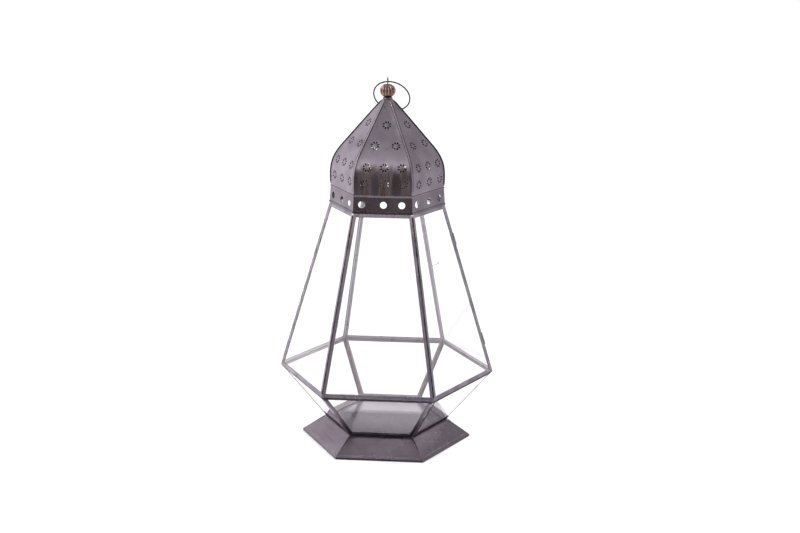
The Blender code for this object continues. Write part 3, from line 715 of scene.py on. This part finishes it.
def build_bead(metal):
    """Melon bead with lobes, open down the middle for the eye's shank."""
    around = LOBES * 10
    top_angle = math.asin((BEAD_TOP - BEAD_CENTRE) / BEAD_HALF_HEIGHT)
    foot_angle = math.asin((BEAD_FOOT - BEAD_CENTRE) / BEAD_HALF_HEIGHT)
    profile = [(PIN_BORE, BEAD_TOP - BORE_DROP, 0.0), (BEAD_LIP_RADIUS, BEAD_TOP - LIP_DROP, 0.0)]
    for angle in spaced(top_angle, foot_angle, BEAD_ROWS):
        depth = LOBE_DEPTH * math.cos(angle) ** 0.5
        height = BEAD_CENTRE + BEAD_HALF_HEIGHT * math.sin(angle)
        profile.append((BEAD_RADIUS * math.cos(angle), height, depth))
    profile += [(BEAD_LIP_RADIUS, BEAD_FOOT + LIP_DROP, 0.0), (PIN_BORE, BEAD_FOOT + BORE_DROP, 0.0)]
    vertices, faces = [], []
    for radius, height, depth in profile:
        for step in range(around):
            angle = math.tau * step / around
            lobe = abs(math.cos(LOBES * angle / 2)) ** 0.8
            reach = radius * (1.0 - depth * (1.0 - lobe))
            reach *= 1.0 - 0.012 * (1.0 + wobble((math.cos(angle), math.sin(angle), height * 90), 2.0))
            vertices.append((reach * math.cos(angle), reach * math.sin(angle), height))
    for row in range(len(profile)):
        this_row = row * around
        next_row = (row + 1) % len(profile) * around
        for step in range(around):
            after = (step + 1) % around
            faces.append((this_row + step, this_row + after, next_row + after, next_row + step))
    add_piece("fluted_bead", vertices, faces, metal, "copper_bead", replaces=["finial_bead"], sharp=60.0)


def build_copper_smear(metal):
    """Copper run down the top of the front right seam, left when the bead was fixed."""
    azimuth = CORNERS["front_right"]
    path = [level_point(point - Vector((0.0001, 0.0)), azimuth) for point in dome_corner_curve()[-12:-2]]
    lumps = Lumps()
    lumps.bead(path, direction(azimuth) + UP * 0.8, (0.0014, 0.0008), 0.5, 97.0)
    lumps.piece("copper_smear", metal, "copper_bead")


def build_ring(metal):
    """Wire ring bent round until its two ends meet with a hair's gap."""
    down = Vector((
        math.sin(RING_SWING),
        math.sin(RING_LEAN) * math.cos(RING_SWING),
        -math.cos(RING_LEAN) * math.cos(RING_SWING),
    ))
    across = (Vector((1.0, 0.0, 0.0)) - down * down.x).normalized()
    across = Matrix.Rotation(RING_TWIST, 3, down) @ across
    centre = UP * EYE_CENTRE + down * RING_RADIUS
    normal = across.cross(down)
    gap = RING_JOIN_GAP / RING_RADIUS
    rings = []
    for step in range(RING_STEPS + 1):
        angle = RING_JOIN + gap / 2 + (math.tau - gap) * step / RING_STEPS
        out = down * math.cos(angle) + across * math.sin(angle)
        from_eye = (1.0 + math.cos(angle)) / 2
        radius = RING_RADIUS * (1.0 - RING_UNEVENNESS * from_eye * (1.0 + wobble(out, 1.3, 5.0)))
        wire = RING_WIRE * (0.86 if step == 0 or step == RING_STEPS else 1.0)
        ring = []
        for side in range(12):
            turn = math.tau * side / 12
            ring.append(centre + out * radius + (out * math.cos(turn) + normal * math.sin(turn)) * wire)
        rings.append(ring)
    lumps = Lumps()
    lumps.rings(rings)
    lumps.piece("wire_ring", metal, "dark_wire", body="ring", replaces=["hanging_ring"])


# ---- solder --------------------------------------------------------------------------------------------
# Runs along the corners: gaps at the two ends, then the section's half width and half height, then the sink.
UPRIGHT_RUN = ((0.003, 0.002), (0.00105, 0.00080), 0.0006)
LOWER_RUN = ((0.003, 0.003), (0.00085, 0.00075), 0.0006)
SKIRT_RUN = ((0.0025, 0.0015), (0.0006, 0.0005), 0.0005)
GUM_RUNS = {
    "left": ((0.005, 0.006), (0.0003, 0.0005), 0.0006),
    "right": ((0.005, 0.006), (0.0009, 0.0005), 0.0006),
}

# Runs along the level edges: gap at both ends, shift outwards and up, then the section.
GIRDLE_RUN = (0.004, (-0.0017, 0.0), (0.0008, 0.0009))
DOOR_RUN = (0.004, (-0.0011, -0.0010), (0.0006, 0.0006))
WAIST_RUN = (0.003, (0.0003, 0.0004), (0.0008, 0.0007))
HEM_RUN = (0.004, (-0.0002, 0.0), (0.00045, 0.0004))

# Blobs on the corners: sink, rise, and half sizes across, up and out.
GIRDLE_BLOB = (0.0027, 0.0004, (0.0024, 0.0020, 0.0019))
GIRDLE_BLOB_BY_DOOR = (0.0033, -0.0022, (0.0018, 0.0013, 0.0014))
SIDE_SINK = 0.0003                    # how much deeper the left and right corners' blobs sit
COLLAR_BLOB = (0.0007, -0.0008, (0.0018, 0.0015, 0.0013))
WAIST_BLOB = (0.0006, 0.0006, (0.0019, 0.0014, 0.0013))

# The drip lies along a part of the front girdle.
DRIP_SPAN = (0.19, 0.28)
DRIP_SHIFT = (-0.0012, 0.0011)
DRIP_SECTION = (0.0006, 0.0006)

# Grey of each run of solder: partly the solder's own dark tarnish, partly painted shade on the front corners
# and faces.
UPRIGHT_LIGHT_AND_SHADE = {"front_left": 0.16, "front_right": 0.14, "back_left": 0.7, "left": 0.8}
GIRDLE_LIGHT_AND_SHADE = {"front": 0.10, "front_right": 0.10, "front_left": 0.25, "back": 1.0}

HINGE_FILLET = (0.0012, 0.0006, 0.0036)
HINGE_FILLET_IN = 0.0020
HINGE_FILLET_SINK = 0.0001
LATCH_FILLET = (0.0009, 0.0008, 0.0024)
LATCH_FILLET_OUT = 0.0004
LATCH_FILLET_ASIDE = 0.0009


def corner_bead(lumps, low, high, azimuth, run, seed):
    """Run of solder up a corner, from one level to another."""
    margins, section, sink = run
    start, end = level_point(low, azimuth), level_point(high, azimuth)
    along = (end - start).normalized()
    outward = (direction(azimuth) - along * direction(azimuth).dot(along)).normalized()
    start = start + along * margins[0] - outward * sink
    end = end - along * margins[1] - outward * sink
    lumps.bead(line_points(start, end), outward, section, 0.22, seed)


def edge_bead(lumps, level, azimuth, run, seed, lumpy=0.22):
    """Run of solder along one face's edge at a level."""
    margin, shift, section = run
    start = level_point(level, azimuth - HALF_FACE)
    end = level_point(level, azimuth + HALF_FACE)
    along = (end - start).normalized()
    move = direction(azimuth) * shift[0] + UP * shift[1]
    points = line_points(start + along * margin + move, end - along * margin + move)
    lumps.bead(points, direction(azimuth), section, lumpy, seed)


def corner_blob(lumps, level, azimuth, blob, seed, deeper=0.0):
    sink, rise, size = blob
    out = direction(azimuth)
    place = level_point(level, azimuth) - out * (sink + deeper) + UP * rise
    lumps.blob(axes_matrix(direction(azimuth + 90), UP, out, place), size, 0.3, seed)


def build_upright_solder(dull):
    for number, (corner, tone) in enumerate(UPRIGHT_LIGHT_AND_SHADE.items()):
        lumps = Lumps()
        corner_bead(lumps, GIRDLE, COLLAR_FOOT, CORNERS[corner], UPRIGHT_RUN, number)
        lumps.piece("upright_solder_" + corner, dull, tone=tone)
    lumps = Lumps()
    for number, corner in enumerate(("front_left", "front_right", "back_left", "back_right")):
        corner_bead(lumps, WAIST, GIRDLE, CORNERS[corner], LOWER_RUN, 10 + number)
    lumps.piece("lower_corner_solder", dull)


def build_girdle_solder(bright, dull):
    for number, (face, azimuth) in enumerate(FACES.items()):
        lumps = Lumps()
        run = DOOR_RUN if face == DOOR_FACE else GIRDLE_RUN
        edge_bead(lumps, GIRDLE, azimuth, run, 20 + number)
        lumps.piece("girdle_solder_" + face, dull, tone=GIRDLE_LIGHT_AND_SHADE.get(face, 0.6))

    out = direction(FACES["front"])
    start, end = level_point(GIRDLE, CORNERS["front_left"]), level_point(GIRDLE, CORNERS["front_right"])
    move = out * DRIP_SHIFT[0] + UP * DRIP_SHIFT[1]
    lumps = Lumps()
    drip = line_points(*(start.lerp(end, share) + move for share in DRIP_SPAN))
    lumps.bead(drip, out + UP * 0.5, DRIP_SECTION, 0.4, 29.0)
    lumps.piece("girdle_drip", bright)


def build_foot_solder(bright, dull):
    lumps = Lumps()
    for number, azimuth in enumerate(FACES.values()):
        edge_bead(lumps, WAIST, azimuth, WAIST_RUN, 30 + number)
    # Grey of painted shade on the waist solder.
    lumps.piece("waist_solder", dull, tone=0.10)

    lumps = Lumps()
    for number, azimuth in enumerate(CORNERS.values()):
        corner_bead(lumps, FOOT, WAIST, azimuth, SKIRT_RUN, 40 + number)
    # Grey of painted shade on the skirt solder.
    lumps.piece("skirt_solder", dull, tone=0.22)

    # Bright solder bead along the skirt's fold: a painted highlight where the fold catches light.
    lumps = Lumps()
    fold = (FOOT[0] + (WAIST[0] - FOOT[0]) * HEM_FOLD, FOOT[1] + (WAIST[1] - FOOT[1]) * HEM_FOLD)
    for number, azimuth in enumerate(FACES.values()):
        edge_bead(lumps, fold, azimuth, HEM_RUN, 45 + number, lumpy=0.8)
    lumps.piece("hem_fold_line", bright, tone=0.42)


def build_corner_blobs(bright, dull):
    lumps = Lumps()
    for number, (corner, azimuth) in enumerate(CORNERS.items()):
        deeper = SIDE_SINK if corner in ("left", "right") else 0.0
        blob = GIRDLE_BLOB_BY_DOOR if corner in DOOR_CORNERS else GIRDLE_BLOB
        corner_blob(lumps, GIRDLE, azimuth, blob, 50 + number, deeper)
        if corner not in DOOR_CORNERS:
            corner_blob(lumps, COLLAR_FOOT, azimuth, COLLAR_BLOB, 70 + number)
    lumps.piece("corner_solder", bright)

    lumps = Lumps()
    for number, azimuth in enumerate(CORNERS.values()):
        corner_blob(lumps, WAIST, azimuth, WAIST_BLOB, 60 + number)
    # Grey of painted shade on the waist blobs.
    lumps.piece("waist_corner_solder", dull, tone=0.25)


def build_joint_gum(gum):
    """Thin gum fillets where the lower panes meet without a channel."""
    lumps = Lumps()
    for number, (corner, run) in enumerate(GUM_RUNS.items()):
        corner_bead(lumps, WAIST, GIRDLE, CORNERS[corner], run, 95 + number)
    lumps.piece("joint_gum", gum, "clear_glass")


def upright_frame(azimuth, place, facing):
    """Axes and point at a place on an upright; x leans towards the facing direction and z runs up it."""
    foot = level_point(GIRDLE, azimuth)
    head = level_point(COLLAR_FOOT, azimuth)
    along = (head - foot).normalized()
    x_axis = (facing - along * facing.dot(along)).normalized()
    return x_axis, along.cross(x_axis), along, foot.lerp(head, place)


def build_hinge_fillets(metal):
    """Solder that holds each half of a hinge to its own channel, on both sides of the right upright."""
    reach = KNUCKLE_LENGTH + FIT_GAP / 2
    halves = (
        ("hinge_solder_fixed", "lantern", -1, "front_right", 240),
        ("hinge_solder_door", "door", 1, "back_right", 120),
    )
    for name, body, side, face, into in halves:
        lumps = Lumps()
        outward = face_out(FACES[face], GIRDLE, COLLAR_FOOT)
        for number, place in enumerate(HINGE_PLACES):
            x_axis, y_axis, along, middle = upright_frame(CORNERS["right"], place, direction(into))
            middle = middle + along * side * (reach / 2 + FIT_GAP / 4)
            middle = middle + x_axis * HINGE_FILLET_IN - outward * HINGE_FILLET_SINK
            lumps.blob(axes_matrix(x_axis, y_axis, along, middle), HINGE_FILLET, 0.2, 80 + number)
        lumps.piece(name, metal, body=body)


def build_latch_fillet(metal):
    """Solder that holds the latch tube to the back right upright."""
    azimuth = CORNERS["back_right"]
    x_axis, y_axis, along, middle = upright_frame(azimuth, LATCH_PLACE, direction(azimuth))
    middle = middle + x_axis * LATCH_FILLET_OUT + direction(azimuth + 90) * LATCH_FILLET_ASIDE
    lumps = Lumps()
    lumps.blob(axes_matrix(x_axis, y_axis, along, middle), LATCH_FILLET, 0.2, 90.0)
    lumps.piece("latch_solder", metal)


# ---- stage ---------------------------------------------------------------------------------------------
def grey(value):
    return rgb(value, value * 0.97, value)


# What the metal mirrors, as (degrees above level, colour) on each side of the room.
UMBER = rgb(0.085, 0.062, 0.060)
FRONT_ROOM = (
    (-90, grey(0.75)), (-38, grey(0.75)), (-26, UMBER), (16, UMBER), (24, grey(1.25)), (34, grey(0.95)),
    (48, grey(0.50)), (60, grey(0.34)), (90, grey(0.30)),
)
BACK_ROOM = (
    (-90, grey(0.80)), (-4, grey(0.80)), (2, grey(0.12)), (18, grey(0.12)), (26, grey(0.70)),
    (90, grey(0.30)),
)
LEFT_ROOM = (
    (-90, grey(0.70)), (-15, grey(0.80)), (5, grey(0.80)), (30, grey(0.64)), (60, grey(0.38)),
    (90, grey(0.30)),
)
RIGHT_ROOM = (
    (-90, grey(0.75)), (-15, grey(0.56)), (5, grey(0.50)), (28, grey(0.40)), (40, grey(0.34)),
    (90, grey(0.30)),
)
ROOM_LIGHT = 1.40
WHITE = rgb(1.0, 0.985, 1.0)
WHITE_LIGHT = 1.12

FLOOR_HALF_SIZE = 6.0
FLOOR_DROP = 0.0002
LIGHT_TARGET = Vector((0.0, 0.0, 0.25))

CAMERA_PLACE = Vector((0.1610, -1.8744, 0.7527))
CAMERA_AIM = Vector((-0.0732, 0.9631, -0.2590))
CAMERA_ROLL = math.radians(0.466)
SENSOR_WIDTH = 36.0
LENS = 62.8


def build_world():
    """White studio; the metal mirrors a room with a dark band in front and behind, and lighter sides."""
    world = bpy.data.worlds.new("studio")
    bpy.context.scene.world = world
    world.use_nodes = True
    world.cycles.sampling_method = "NONE"
    world.node_tree.nodes.clear()
    g = Nodes(world.node_tree)
    view = g.add("ShaderNodeTexCoord").outputs["Generated"]
    x, y, z = g.add("ShaderNodeSeparateXYZ", {0: view}).outputs
    height = g.maths("MULTIPLY_ADD", z, 0.5, 0.5)

    def by_elevation(stops):
        return g.ramp(height, [((math.sin(math.radians(angle)) + 1) / 2, colour) for angle, colour in stops])

    ends = g.tint(g.spread(y, -0.1, 0.1), by_elevation(FRONT_ROOM), by_elevation(BACK_ROOM))
    sides = g.tint(g.spread(x, -0.3, 0.3), by_elevation(LEFT_ROOM), by_elevation(RIGHT_ROOM))
    deep = g.maths("MULTIPLY", y, y)
    flat = g.maths("ADD", g.maths("MULTIPLY", x, x), deep)
    endwise = g.spread(g.maths("DIVIDE", deep, g.maths("MAXIMUM", flat, 0.0001)), 0.68, 0.92)
    mirrored = g.tint(endwise, sides, ends)

    path = g.add("ShaderNodeLightPath").outputs
    through_glass = path["Is Transmission Ray"]
    only_mirrored = g.maths("MULTIPLY", path["Is Glossy Ray"], g.maths("SUBTRACT", 1.0, through_glass))
    white = g.add("ShaderNodeBackground", {"Color": WHITE, "Strength": WHITE_LIGHT}).outputs[0]
    room = g.add("ShaderNodeBackground", {"Color": mirrored, "Strength": ROOM_LIGHT}).outputs[0]
    shader = g.add("ShaderNodeMixShader", {0: only_mirrored, 1: white, 2: room}).outputs[0]
    g.add("ShaderNodeOutputWorld", {"Surface": shader})


def build_floor():
    mesh = bpy.data.meshes.new("studio_floor")
    quarters = ((-1, -1), (1, -1), (1, 1), (-1, 1))
    corners = [(FLOOR_HALF_SIZE * x, FLOOR_HALF_SIZE * y, -FLOOR_DROP) for x, y in quarters]
    mesh.from_pydata(corners, [], [(0, 1, 2, 3)])
    g = Graph("studio_floor_white")
    colour = g.tint(g.spread(g.noise(3.0, 4.0), 0.3, 0.7), rgb(0.93, 0.92, 0.935), rgb(0.96, 0.95, 0.96))
    mesh.materials.append(g.finish(Base_Color=colour, Roughness=0.9, Specular_IOR_Level=0.0))
    floor = bpy.data.objects.new("studio_floor", mesh)
    bpy.context.scene.collection.objects.link(floor)
    floor.visible_glossy = False


def build_light(name, place, size, energy, mirrored):
    lamp = bpy.data.lights.new(name, "AREA")
    lamp.shape = "DISK"
    lamp.size = size
    lamp.energy = energy
    light = bpy.data.objects.new(name, lamp)
    bpy.context.scene.collection.objects.link(light)
    light.location = place
    light.rotation_euler = (LIGHT_TARGET - Vector(place)).to_track_quat("-Z", "Y").to_euler()
    light.visible_glossy = mirrored


def build_camera():
    """View from about five degrees to the right of the front and fifteen above level."""
    forward = CAMERA_AIM.normalized()
    right = forward.cross(UP).normalized()
    up = right.cross(forward)
    x_axis = right * math.cos(CAMERA_ROLL) + up * math.sin(CAMERA_ROLL)
    y_axis = up * math.cos(CAMERA_ROLL) - right * math.sin(CAMERA_ROLL)
    data = bpy.data.cameras.new("camera")
    data.sensor_width = SENSOR_WIDTH
    data.lens = LENS
    camera = bpy.data.objects.new("camera", data)
    bpy.context.scene.collection.objects.link(camera)
    camera.matrix_world = axes_matrix(x_axis, y_axis, -forward, CAMERA_PLACE)
    bpy.context.scene.camera = camera


# ---- making the scene ----------------------------------------------------------------------------------
FOLDED_EDGE = 0.00035
CUT_EDGE = 0.00012

SHEET_PALE = rgb(0.36, 0.315, 0.365)
SHEET_DARK = rgb(0.285, 0.245, 0.29)
SHEET_BROWN = rgb(0.23, 0.175, 0.185)

SHEET = aged_metal("antiqued_sheet", SHEET_PALE, SHEET_DARK, SHEET_BROWN, 0.62)
# Front gore: the sheet's colours with a darker dark grey as painted shade, brown streaks on its lower part,
# and shade that paints a band of light between heights 0.404 and 0.430 with painted shade below and above it.
SHADED_FRONT_GORE = aged_metal(
    "antiqued_front_gore", rgb(0.37, 0.325, 0.37), rgb(0.23, 0.195, 0.23), rgb(0.095, 0.058, 0.046), 0.45,
    streaks=(110.0, 110.0, 9.0), brown_below=0.408,
    shade=((0.360, 0.72), (0.396, 0.72), (0.404, 1.0), (0.430, 1.0), (0.490, 0.72)),
)
COLLAR = aged_metal(
    "antiqued_collar", SHEET_PALE, SHEET_DARK, SHEET_BROWN, 0.62,
    # Its inner faces are painted near black as shade.
    inside=rgb(0.035, 0.030, 0.032),
)
FOOT_SHEET = aged_metal(
    "antiqued_foot", rgb(0.30, 0.255, 0.30), rgb(0.25, 0.21, 0.25), rgb(0.19, 0.145, 0.148), 0.56,
    streaks=(10.0, 10.0, 170.0), relief=0.10,
)
CHANNEL = aged_metal(
    # blue paints bluish reflections in cloudy patches.
    "antiqued_channel", rgb(0.46, 0.42, 0.465), rgb(0.22, 0.19, 0.225), rgb(0.17, 0.12, 0.11), 0.62,
    # Its inner faces are painted pale as light.
    inside=rgb(0.78, 0.75, 0.80), blue=rgb(0.24, 0.25, 0.35), wear_and_highlight=0.75, edge_width=0.0009, rounding=0.0014,
)
LOWER_CHANNEL = aged_metal(
    "antiqued_lower_channel", rgb(0.32, 0.29, 0.325), rgb(0.17, 0.15, 0.175), rgb(0.13, 0.09, 0.085), 0.62,
    # Painted shade near the waist and on the top strip under the girdle.
    shade=((0.024, 0.30), (0.032, 0.55), (0.060, 1.0), (0.0930, 1.0), (0.0945, 0.28), (0.110, 0.28)),
    # Its inner faces are painted as lit.
    inside=rgb(0.31, 0.270, 0.290), wear_and_highlight=0.12, crevice=0.0034, rounding=0.0012,
    gloss=(0.12, rgb(0.22, 0.20, 0.22)),
)
SEAM_STRIP = aged_metal(
    "seam_strip", rgb(0.44, 0.40, 0.45), rgb(0.33, 0.29, 0.335), rgb(0.25, 0.19, 0.18), 0.60,
    roughness=0.42, relief=0.08,
)
FLOOR_SHEET = floor_sheet("antiqued_floor_plate")
# Near black inner side of the dome: painted shade.
INSIDE_SHADE = painted_shade_inside("painted_shade_inside")
GUM = joint_gum("joint_gum")
BRIGHT_SOLDER = solder("bright_solder", rgb(0.92, 0.90, 0.92), rgb(0.42, 0.39, 0.42), 0.54)
DULL_SOLDER = solder("dull_solder", rgb(0.62, 0.59, 0.62), rgb(0.16, 0.14, 0.16), 0.45)
GLASS = clear_glass("clear_glass")
COPPER = copper("copper_bead")
WIRE = dark_wire("dark_wire")

# Grey of painted light and shade for each piece, darker on the sides in shade.
NODE_LIGHT_AND_SHADE = {
    "skirt_front": 0.66, "skirt_front_right": 0.84, "foot_hem": 0.45, "upper_channel_back": 0.7,
    "collar_band": 0.78, "collar_rim": 0.62,
}
GORE_LIGHT_AND_SHADE = {"back_right": 0.95, "back_left": 0.9}
SEAM_LIGHT_AND_SHADE = {"front_left": 0.85, "front_right": 0.75, "left": 0.25, "right": 0.25}


# Metal of the sheet nodes by a word in their names; the first that fits is taken.
SHEET_LOOKS = {
    "hinge": BRIGHT_SOLDER, "latch_tube": BRIGHT_SOLDER, "collar": COLLAR, "floor": FLOOR_SHEET,
    "skirt": FOOT_SHEET, "foot": FOOT_SHEET, "lower_channel": LOWER_CHANNEL, "channel": CHANNEL,
}


def look_of(name):
    """Material and slot of a CAD node."""
    if "glass" in name:
        return GLASS, "clear_glass"
    if name in ("eye_pin", "latch_wire", "hanging_ring") or name.endswith("hinge_pin"):
        return WIRE, "dark_wire"
    if name == "finial_bead":
        return COPPER, "copper_bead"
    metals = (material for part, material in SHEET_LOOKS.items() if part in name)
    return next(metals, SHEET), "antiqued_sheet"


def soften(node, width):
    """Small rounds on a sheet part's cut and folded edges."""
    bevel = node.modifiers.new("soft_edges", "BEVEL")
    bevel.width = width
    bevel.segments = 2
    bevel.limit_method = "ANGLE"
    bevel.angle_limit = math.radians(35)


def dress(name, node):
    """Gives a CAD node its material, its painted light and shade, and soft edges."""
    material, slot = look_of(name)
    node.data.materials.clear()
    node.data.materials.append(material)
    node.visible_shadow = material is not GLASS
    # Painted light and shade of the node.
    tone = NODE_LIGHT_AND_SHADE.get(name, 1.0)
    node.color = (tone, tone, tone, 1.0)
    if "channel" in name or name in ("foot_hem", "collar_rim", "collar_beading"):
        soften(node, FOLDED_EDGE)
    elif name.startswith("skirt") or name in ("floor_plate", "collar_band"):
        soften(node, CUT_EDGE)


for node_name, cad_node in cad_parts.items():
    dress(node_name, cad_node)

DOME = Profile()
for face_name, face_azimuth in FACES.items():
    gore_metal = SHADED_FRONT_GORE if face_name == "front" else SHEET
    build_gore(face_name, face_azimuth, DOME, gore_metal, INSIDE_SHADE, GORE_LIGHT_AND_SHADE.get(face_name, 1.0))
for corner_name, corner_azimuth in CORNERS.items():
    build_dome_seam(corner_name, corner_azimuth, SEAM_STRIP, INSIDE_SHADE, SEAM_LIGHT_AND_SHADE.get(corner_name, 0.7))
build_bead(COPPER)
build_copper_smear(COPPER)
build_ring(WIRE)
build_upright_solder(DULL_SOLDER)
build_girdle_solder(BRIGHT_SOLDER, DULL_SOLDER)
build_foot_solder(BRIGHT_SOLDER, DULL_SOLDER)
build_corner_blobs(BRIGHT_SOLDER, DULL_SOLDER)
build_joint_gum(GUM)
build_hinge_fillets(DULL_SOLDER)
build_latch_fillet(DULL_SOLDER)

build_world()
build_floor()
build_light("key_light", (-1.6, -1.3, 2.6), size=1.4, energy=26.0, mirrored=True)
build_light("fill_light", (1.9, 0.6, 2.0), size=1.6, energy=14.0, mirrored=False)
build_camera()
bpy.context.scene.view_settings.view_transform = "Standard"
